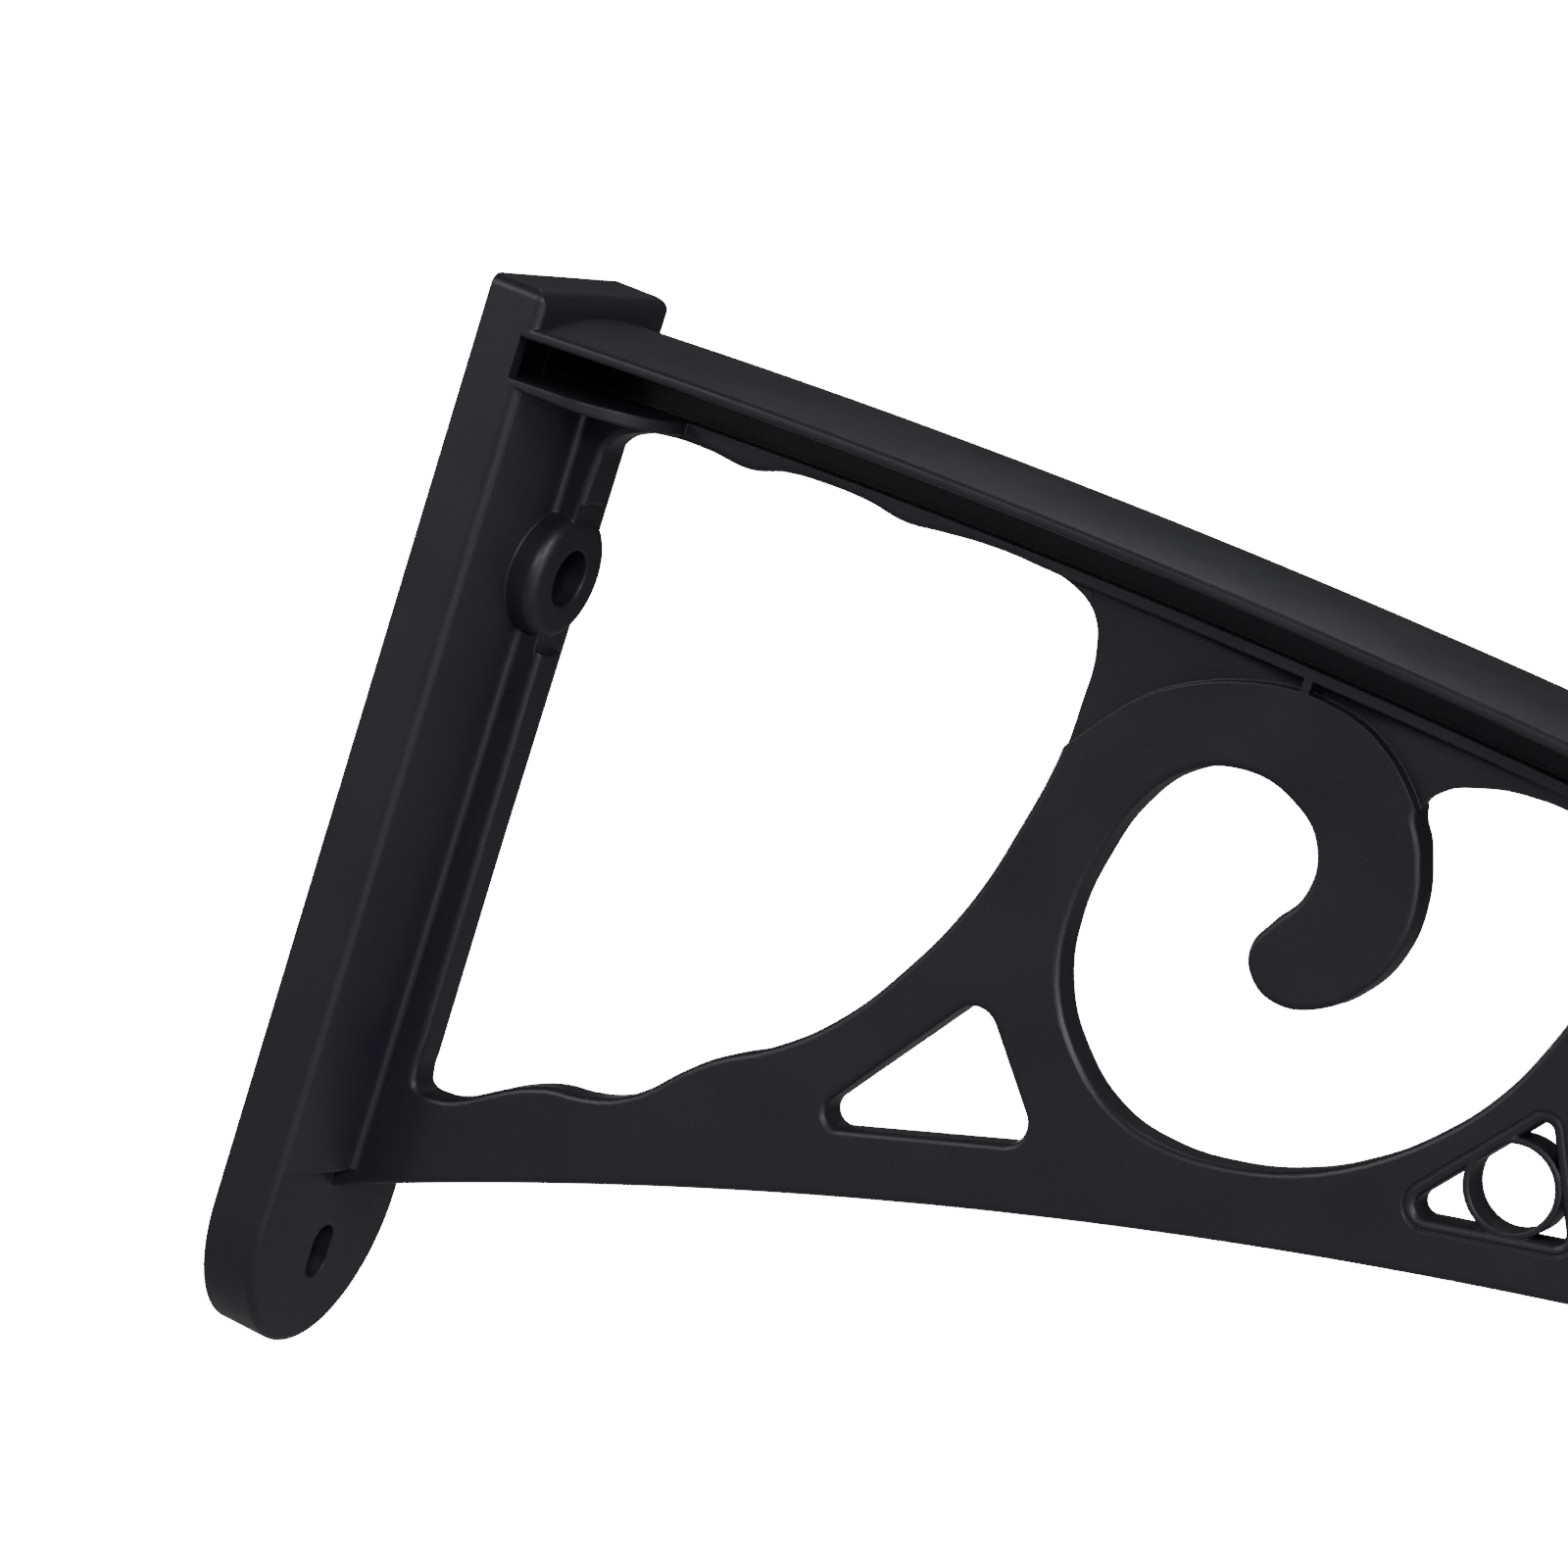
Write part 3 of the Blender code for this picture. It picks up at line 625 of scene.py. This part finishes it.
class BRACKET_OT_ornament(bpy.types.Operator):
    """Make the ring, the sunk faces over the scroll and the sunk line round the ring's triangle"""
    bl_idname = "bracket.ornament"
    bl_label = "Ring and sunk faces"

    def execute(self, context):
        web = context.scene.bracket_web
        beam = context.scene.bracket_beam
        keep("joined", self.ring(web))
        lip_under = beam.top_radius - beam.edge - beam.slot_height - beam.lip
        for side in (1, -1):
            keep("cut", *self.spandrels(web, lip_under, side))
            keep("cut", self.line(web, side))
            keep("flange", self.cove(web, lip_under, side))
        return {"FINISHED"}

    def cove(self, web, lip_under, side):
        """A hollow curve that softens the lip's underside into the sunk faces."""
        inner = web.thin / 2
        depth = web.thickness / 2 - 0.0002 - inner
        section = [(inner - 0.0005, lip_under + 0.0004), (inner + depth, lip_under + 0.0004)]
        section += [(inner + depth * (1 - math.sin(a)), lip_under - web.cove * (1 - math.cos(a)))
                    for a in steps(0, math.pi / 2, 8)]
        section += [(inner - 0.0005, lip_under - web.cove)]
        return along_beam("cove", [(side * y, z) for y, z in section], 0.166, SPANDREL_END + 0.001, 32)

    def ring(self, web):
        """A round ring with softened rims, turned about a line along Y."""
        x, z = drop(*RING_CENTRE)
        half = web.thickness / 2 - 0.0002
        soft = RING_ROUNDING
        section = []
        for radius, high, first in ((web.ring_radius, half, 0), (web.ring_hole, half, math.pi / 2),
                                    (web.ring_hole, -half, math.pi), (web.ring_radius, -half, 1.5 * math.pi)):
            inward = Vector((soft if radius == web.ring_hole else -soft, -soft if high > 0 else soft))
            centre = Vector((radius, high)) + inward
            section += [centre + soft * Vector((math.cos(a), math.sin(a)))
                        for a in steps(first, first + math.pi / 2, 3)]
        body = bmesh.new()
        points = [body.verts.new((x + r, y, z)) for r, y in section]
        lines = [body.edges.new(pair) for pair in zip(points, points[1:] + points[:1])]
        bmesh.ops.spin(body, geom=points + lines, cent=(x, 0, z), axis=(0, 1, 0), angle=math.tau,
                       steps=96, use_merge=True, use_duplicate=False)
        return body_from("ring", body)

    def spandrels(self, web, lip_under, side):
        """The sunk faces between the scroll and the lip, left and right of the small tick."""
        rim = through([(x / 1000, z / 1000) for x, z in SCROLL_RIM], 12)
        half = 0.005
        place = upright(side * (web.thin / 2 + half))
        tick_left, tick_right = SPANDREL_TICK
        left = [p for p in rim if p[0] < tick_left] + [(tick_left, 0.2531)]
        left += [(x, beam_height(lip_under, x)) for x in steps(tick_left, SPANDREL_START, 12)]
        right = [(tick_right, 0.2532)] + [p for p in rim if p[0] > tick_right]
        right += [(0.288, 0.2320), (SPANDREL_END, 0.2405)]
        right += [(x, beam_height(lip_under, x)) for x in steps(SPANDREL_END, tick_right, 12)]
        return [slab("spandrel", [([drop(x, z) for x, z in points], False)], half, place)
                for points in (left, right)]

    def line(self, web, side):
        """A narrow ring of the triangle's shape that sinks a line into the web's face."""
        outer = rounded_corners(RING_TRIANGLE, 12, (web.line_offset + web.line_width) * 1000)
        inner = rounded_corners(RING_TRIANGLE, 12, web.line_offset * 1000)
        outlines = [(from_millimetres(outer), False), (from_millimetres(inner), False)]
        half = 0.001
        depth = web.thickness / 2 - web.line_depth + half
        return slab("line", outlines, half, upright(side * depth))


def nose_envelope(plate_width, reach):
    """Everything in front of the wall and inside the rounded tip, seen from above."""
    half = plate_width / 2 + 0.001
    radius = TIP_ROUNDING
    tip = reach - radius
    points = [(0, -half)]
    points += [(tip + radius * math.sin(a), -half + radius - radius * math.cos(a) + 0.001 * math.cos(a))
               for a in steps(0, math.pi / 2, 24)]
    points += [(x, -y) for x, y in reversed(points)]
    return slab("envelope", [(points, False)], 0.3, Matrix.Identity(4))


def smooth_group(name, inputs, outputs):
    """An empty shader node group with named sockets, and its two end nodes."""
    group = bpy.data.node_groups.new(name, "ShaderNodeTree")
    for label, kind, value in inputs:
        socket = group.interface.new_socket(name=label, in_out="INPUT", socket_type=kind)
        if value is not None:
            socket.default_value = value
    for label, kind in outputs:
        group.interface.new_socket(name=label, in_out="OUTPUT", socket_type=kind)
    return group, group.nodes.new("NodeGroupInput"), group.nodes.new("NodeGroupOutput")


def grain_group():
    """Fine sparked grain of the mould, with the slow waviness of a cooled face under it."""
    group, start, end = smooth_group(
        "mould_grain",
        [("Vector", "NodeSocketVector", None), ("Grain Scale", "NodeSocketFloat", 2600.0),
         ("Wave Scale", "NodeSocketFloat", 38.0), ("Wave Share", "NodeSocketFloat", 0.5)],
        [("Height", "NodeSocketFloat"), ("Patches", "NodeSocketFloat")])
    fine = group.nodes.new("ShaderNodeTexNoise")
    fine.inputs["Detail"].default_value = 3.0
    fine.inputs["Roughness"].default_value = 0.6
    slow = group.nodes.new("ShaderNodeTexNoise")
    slow.inputs["Detail"].default_value = 1.0
    share = group.nodes.new("ShaderNodeMath")
    share.operation = "MULTIPLY"
    total = group.nodes.new("ShaderNodeMath")
    total.operation = "ADD"
    link = group.links.new
    link(start.outputs["Vector"], fine.inputs["Vector"])
    link(start.outputs["Grain Scale"], fine.inputs["Scale"])
    link(start.outputs["Vector"], slow.inputs["Vector"])
    link(start.outputs["Wave Scale"], slow.inputs["Scale"])
    link(slow.outputs["Fac"], share.inputs[0])
    link(start.outputs["Wave Share"], share.inputs[1])
    link(fine.outputs["Fac"], total.inputs[0])
    link(share.outputs["Value"], total.inputs[1])
    link(total.outputs["Value"], end.inputs["Height"])
    link(slow.outputs["Fac"], end.inputs["Patches"])
    return group


def dust_group():
    """A thin, uneven film of dust on faces that look up."""
    group, start, end = smooth_group(
        "settled_dust",
        [("Vector", "NodeSocketVector", None), ("Normal", "NodeSocketVector", None),
         ("Amount", "NodeSocketFloat", 0.2), ("Scale", "NodeSocketFloat", 60.0)],
        [("Mask", "NodeSocketFloat")])
    split = group.nodes.new("ShaderNodeSeparateXYZ")
    up = group.nodes.new("ShaderNodeMapRange")
    up.inputs["From Min"].default_value = 0.35
    up.inputs["From Max"].default_value = 1.0
    cloud = group.nodes.new("ShaderNodeTexNoise")
    cloud.inputs["Detail"].default_value = 6.0
    cloud.inputs["Roughness"].default_value = 0.7
    spread = group.nodes.new("ShaderNodeMapRange")
    spread.inputs["From Min"].default_value = 0.35
    spread.inputs["From Max"].default_value = 0.75
    both = group.nodes.new("ShaderNodeMath")
    both.operation = "MULTIPLY"
    amount = group.nodes.new("ShaderNodeMath")
    amount.operation = "MULTIPLY"
    link = group.links.new
    link(start.outputs["Normal"], split.inputs["Vector"])
    link(split.outputs["Z"], up.inputs["Value"])
    link(start.outputs["Vector"], cloud.inputs["Vector"])
    link(start.outputs["Scale"], cloud.inputs["Scale"])
    link(cloud.outputs["Fac"], spread.inputs["Value"])
    link(up.outputs["Result"], both.inputs[0])
    link(spread.outputs["Result"], both.inputs[1])
    link(both.outputs["Value"], amount.inputs[0])
    link(start.outputs["Amount"], amount.inputs[1])
    link(amount.outputs["Value"], end.inputs["Mask"])
    return group


def black_plastic(look):
    """Satin black plastic with mould grain, softened edges and a breath of dust on top."""
    material = bpy.data.materials.new("black_plastic_moulded")
    material.use_nodes = True
    nodes = material.node_tree.nodes
    link = material.node_tree.links.new
    shader = nodes["Principled BSDF"]
    shader.inputs["IOR"].default_value = 1.46
    place = nodes.new("ShaderNodeTexCoord")
    grain = nodes.new("ShaderNodeGroup")
    grain.node_tree = grain_group()
    dust = nodes.new("ShaderNodeGroup")
    dust.node_tree = dust_group()
    dust.inputs["Amount"].default_value = 0.16
    geometry = nodes.new("ShaderNodeNewGeometry")
    soft = nodes.new("ShaderNodeBevel")
    soft.samples = 6
    soft.inputs["Radius"].default_value = look.softness
    bump = nodes.new("ShaderNodeBump")
    bump.inputs["Strength"].default_value = 0.16
    bump.inputs["Distance"].default_value = 0.0002
    tint = nodes.new("ShaderNodeMix")
    tint.data_type = "RGBA"
    tint.inputs["A"].default_value = (*look.base, 1.0)
    tint.inputs["B"].default_value = (*look.dust, 1.0)
    rough = nodes.new("ShaderNodeMapRange")
    rough.inputs["From Min"].default_value = 0.3
    rough.inputs["From Max"].default_value = 0.7
    rough.inputs["To Min"].default_value = look.roughness - 0.04
    rough.inputs["To Max"].default_value = look.roughness + 0.05
    link(place.outputs["Object"], grain.inputs["Vector"])
    link(place.outputs["Object"], dust.inputs["Vector"])
    link(geometry.outputs["Normal"], dust.inputs["Normal"])
    link(dust.outputs["Mask"], tint.inputs["Factor"])
    link(tint.outputs["Result"], shader.inputs["Base Color"])
    link(grain.outputs["Patches"], rough.inputs["Value"])
    link(rough.outputs["Result"], shader.inputs["Roughness"])
    link(grain.outputs["Height"], bump.inputs["Height"])
    link(soft.outputs["Normal"], bump.inputs["Normal"])
    link(bump.outputs["Normal"], shader.inputs["Normal"])
    return material


class BRACKET_OT_moulding(bpy.types.Operator):
    """Join the bodies into one moulding, smooth it and give it its plastic"""
    bl_idname = "bracket.moulding"
    bl_label = "Join the moulding"

    def execute(self, context):
        scene = context.scene
        piece = bpy.data.collections["web"].objects[0]
        bpy.data.collections["web"].objects.unlink(piece)
        bpy.data.collections.remove(bpy.data.collections["web"])
        piece.name = piece.data.name = "bracket_moulding"
        piece.display_type = "TEXTURED"
        piece.hide_render = False
        scene.collection.objects.link(piece)
        combine(piece, "seat", "DIFFERENCE")
        combine(piece, "joined", "UNION")
        combine(piece, "cut", "DIFFERENCE")
        combine(piece, "flange", "UNION")
        keep("envelope", nose_envelope(scene.bracket_plate.width, scene.bracket_beam.reach))
        combine(piece, "envelope", "INTERSECT")
        self.tidy(piece)
        piece.data.materials.clear()
        piece.data.materials.append(black_plastic(scene.bracket_plastic))
        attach(piece, "root")
        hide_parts("bracket")
        return {"FINISHED"}

    def tidy(self, piece):
        """Weld what the cuts left, then shade curved faces smooth and keep flat ones flat."""
        body = bmesh.new()
        body.from_mesh(piece.data)
        bmesh.ops.remove_doubles(body, verts=body.verts, dist=0.00001)
        bmesh.ops.dissolve_degenerate(body, edges=body.edges, dist=0.00001)
        bmesh.ops.recalc_face_normals(body, faces=body.faces)
        for face in body.faces:
            face.smooth = True
        body.to_mesh(piece.data)
        body.free()
        piece.data.set_sharp_from_angle(angle=math.radians(28))
        weigh = piece.modifiers.new("flat_faces_stay_flat", "WEIGHTED_NORMAL")
        weigh.keep_sharp = True
        weigh.weight = 90


class BRACKET_OT_stage(bpy.types.Operator):
    """Make the floor, the lights and the camera"""
    bl_idname = "bracket.stage"
    bl_label = "Stage"

    def execute(self, context):
        look = context.scene.bracket_stage
        self.floor(look)
        self.sky(look)
        for name, place, size in LIGHTS:
            self.area(name, Vector(place), size, getattr(look, name))
        self.camera()
        return {"FINISHED"}

    def floor(self, look):
        """A pale disc, bright in the camera from above and clear from below."""
        body = bmesh.new()
        bmesh.ops.create_circle(body, cap_ends=True, segments=96, radius=FLOOR_RADIUS)
        bmesh.ops.translate(body, vec=(0, 0, SOLID_LOW.z - look.floor_drop), verts=body.verts)
        mesh = bpy.data.meshes.new("floor")
        body.to_mesh(mesh)
        body.free()
        floor = bpy.data.objects.new("floor", mesh)
        bpy.context.scene.collection.objects.link(floor)
        material = bpy.data.materials.new("pale_floor")
        material.use_nodes = True
        nodes = material.node_tree.nodes
        link = material.node_tree.links.new
        shader = nodes["Principled BSDF"]
        shader.inputs["Base Color"].default_value = (FLOOR_GREY, FLOOR_GREY, FLOOR_GREY, 1.0)
        shader.inputs["Roughness"].default_value = 0.9
        bright = nodes.new("ShaderNodeEmission")
        bright.inputs["Color"].default_value = (*look.floor, 1.0)
        bright.inputs["Strength"].default_value = look.glow
        clear = nodes.new("ShaderNodeBsdfTransparent")
        geometry = nodes.new("ShaderNodeNewGeometry")
        sides = nodes.new("ShaderNodeMixShader")
        seen = nodes.new("ShaderNodeLightPath")
        mix = nodes.new("ShaderNodeMixShader")
        link(geometry.outputs["Backfacing"], sides.inputs["Fac"])
        link(bright.outputs["Emission"], sides.inputs[1])
        link(clear.outputs["BSDF"], sides.inputs[2])
        link(seen.outputs["Is Camera Ray"], mix.inputs["Fac"])
        link(shader.outputs["BSDF"], mix.inputs[1])
        link(sides.outputs["Shader"], mix.inputs[2])
        link(mix.outputs["Shader"], nodes["Material Output"].inputs["Surface"])
        mesh.materials.append(material)

    def sky(self, look):
        """A plain white surround that the camera sees bright and the bracket sees soft."""
        world = bpy.data.worlds.new("plain_surround")
        world.use_nodes = True
        nodes = world.node_tree.nodes
        link = world.node_tree.links.new
        soft = nodes["Background"]
        soft.inputs["Strength"].default_value = look.sky
        soft.inputs["Color"].default_value = (1.0, 1.0, 1.0, 1.0)
        bright = nodes.new("ShaderNodeBackground")
        bright.inputs["Color"].default_value = (*look.floor, 1.0)
        bright.inputs["Strength"].default_value = look.glow
        seen = nodes.new("ShaderNodeLightPath")
        mix = nodes.new("ShaderNodeMixShader")
        link(seen.outputs["Is Camera Ray"], mix.inputs["Fac"])
        link(soft.outputs["Background"], mix.inputs[1])
        link(bright.outputs["Background"], mix.inputs[2])
        link(mix.outputs["Shader"], nodes["World Output"].inputs["Surface"])
        bpy.context.scene.world = world

    def area(self, name, place, size, watts):
        light = bpy.data.lights.new(name, "AREA")
        light.shape = "DISK"
        light.size = size
        light.energy = watts
        lamp = bpy.data.objects.new(name, light)
        lamp.location = place
        lamp.rotation_mode = "QUATERNION"
        lamp.rotation_quaternion = (Vector(LIGHT_AIM) - place).to_track_quat("-Z", "Y")
        bpy.context.scene.collection.objects.link(lamp)

    def camera(self):
        """The photograph's view: a long lens from the side and above, rolled anticlockwise."""
        lens = bpy.data.cameras.new("photo_view")
        lens.sensor_width = 36.0
        lens.lens = 109.91
        lens.clip_start = 0.05
        lens.clip_end = 100.0
        camera = bpy.data.objects.new("photo_view", lens)
        camera.matrix_world = Matrix((
            (0.838415, -0.363103, 0.406468, 0.586725),
            (0.455150, 0.056184, -0.888641, -1.058085),
            (0.299831, 0.930053, 0.212372, 0.300120),
            (0.0, 0.0, 0.0, 1.0)))
        bpy.context.scene.collection.objects.link(camera)
        bpy.context.scene.camera = camera


class BRACKET_PT_sidebar(bpy.types.Panel):
    """Sizes, finish and making of the bracket"""
    bl_idname = "BRACKET_PT_sidebar"
    bl_label = "Awning bracket"
    bl_space_type = "VIEW_3D"
    bl_region_type = "UI"
    bl_category = "Bracket"

    def draw(self, context):
        layout = self.layout
        for label, group, kind in GROUPS:
            box = layout.box()
            box.label(text=label)
            for name in kind.__annotations__:
                box.prop(getattr(context.scene, group), name)
        for operator in OPERATORS:
            layout.operator(operator.bl_idname)


GROUPS = (
    ("Wall plate", "bracket_plate", PlateSizes),
    ("Screw boss", "bracket_boss", BossSizes),
    ("Beam", "bracket_beam", BeamSizes),
    ("Web", "bracket_web", WebSizes),
    ("Plastic", "bracket_plastic", PlasticLook),
    ("Stage", "bracket_stage", StageLook),
)
OPERATORS = (
    BRACKET_OT_web,
    BRACKET_OT_wall_plate,
    BRACKET_OT_boss,
    BRACKET_OT_beam,
    BRACKET_OT_ornament,
    BRACKET_OT_moulding,
    BRACKET_OT_stage,
)


def register():
    for label, group, kind in GROUPS:
        bpy.utils.register_class(kind)
        setattr(bpy.types.Scene, group, PointerProperty(type=kind))
    for operator in OPERATORS:
        bpy.utils.register_class(operator)
    bpy.utils.register_class(BRACKET_PT_sidebar)


def unregister():
    bpy.utils.unregister_class(BRACKET_PT_sidebar)
    for operator in reversed(OPERATORS):
        bpy.utils.unregister_class(operator)
    for label, group, kind in reversed(GROUPS):
        delattr(bpy.types.Scene, group)
        bpy.utils.unregister_class(kind)


def main():
    register()
    bpy.ops.bracket.web()
    bpy.ops.bracket.wall_plate()
    bpy.ops.bracket.boss()
    bpy.ops.bracket.beam()
    bpy.ops.bracket.ornament()
    bpy.ops.bracket.moulding()
    bpy.ops.bracket.stage()


if __name__ == "__main__":
    main()
